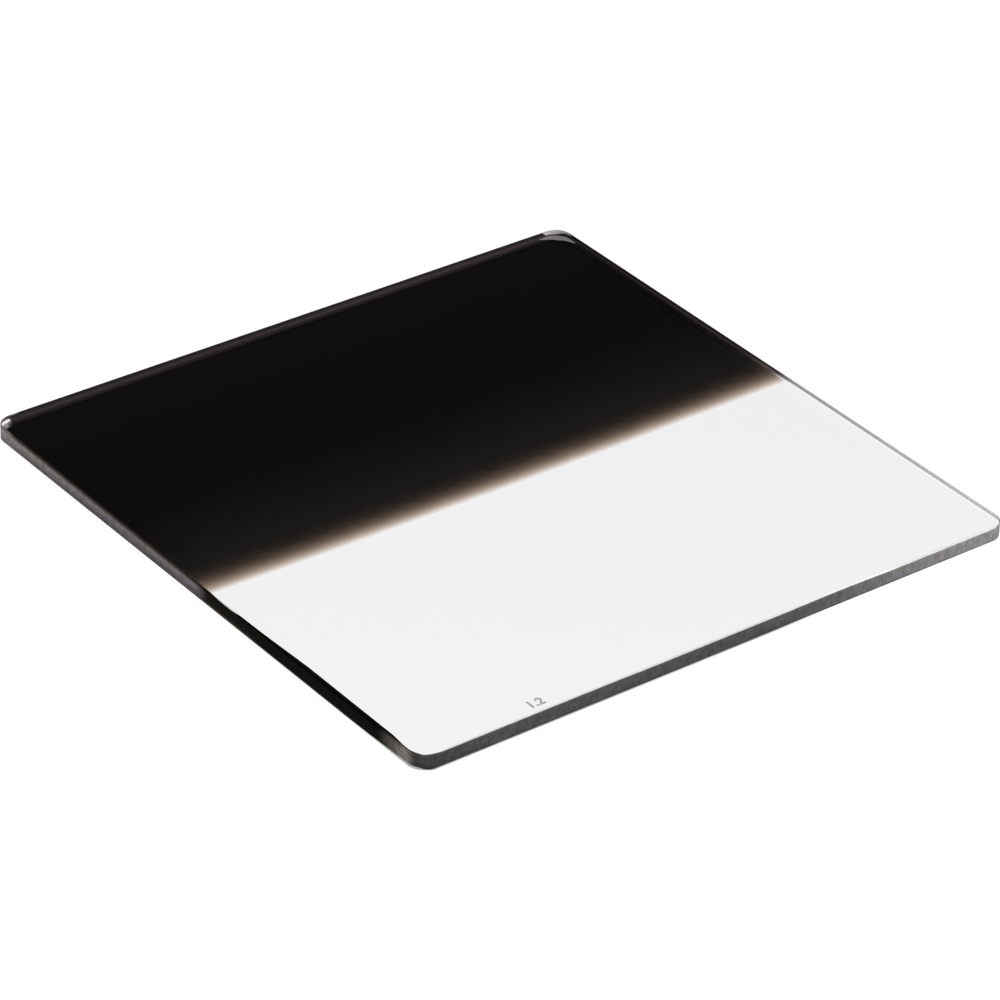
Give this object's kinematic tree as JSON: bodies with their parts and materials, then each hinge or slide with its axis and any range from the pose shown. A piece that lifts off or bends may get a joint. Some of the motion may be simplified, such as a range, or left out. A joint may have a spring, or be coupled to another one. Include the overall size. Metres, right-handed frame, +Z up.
{
  "type": "square graduated neutral density filter",
  "caption": "Square plate of optical glass with rounded corners and ground edges, dark over one half and fading to clear over the other.",
  "frame": {"origin": "centre of the plate's lower face, which lies on the ground plane", "axes": "+Z up through the plate's thickness, +Y towards the dense half, -Y towards the clear half, +X along the edge of the graduation"},
  "size_m": [0.1676, 0.1676, 0.004],
  "materials": {
    "graduated_glass": "polished faces, ground edges, dark graduated coat on the lower face"
  },
  "bodies": {
    "root": {"filter_plate": "graduated_glass"}
  },
  "joints": []
}
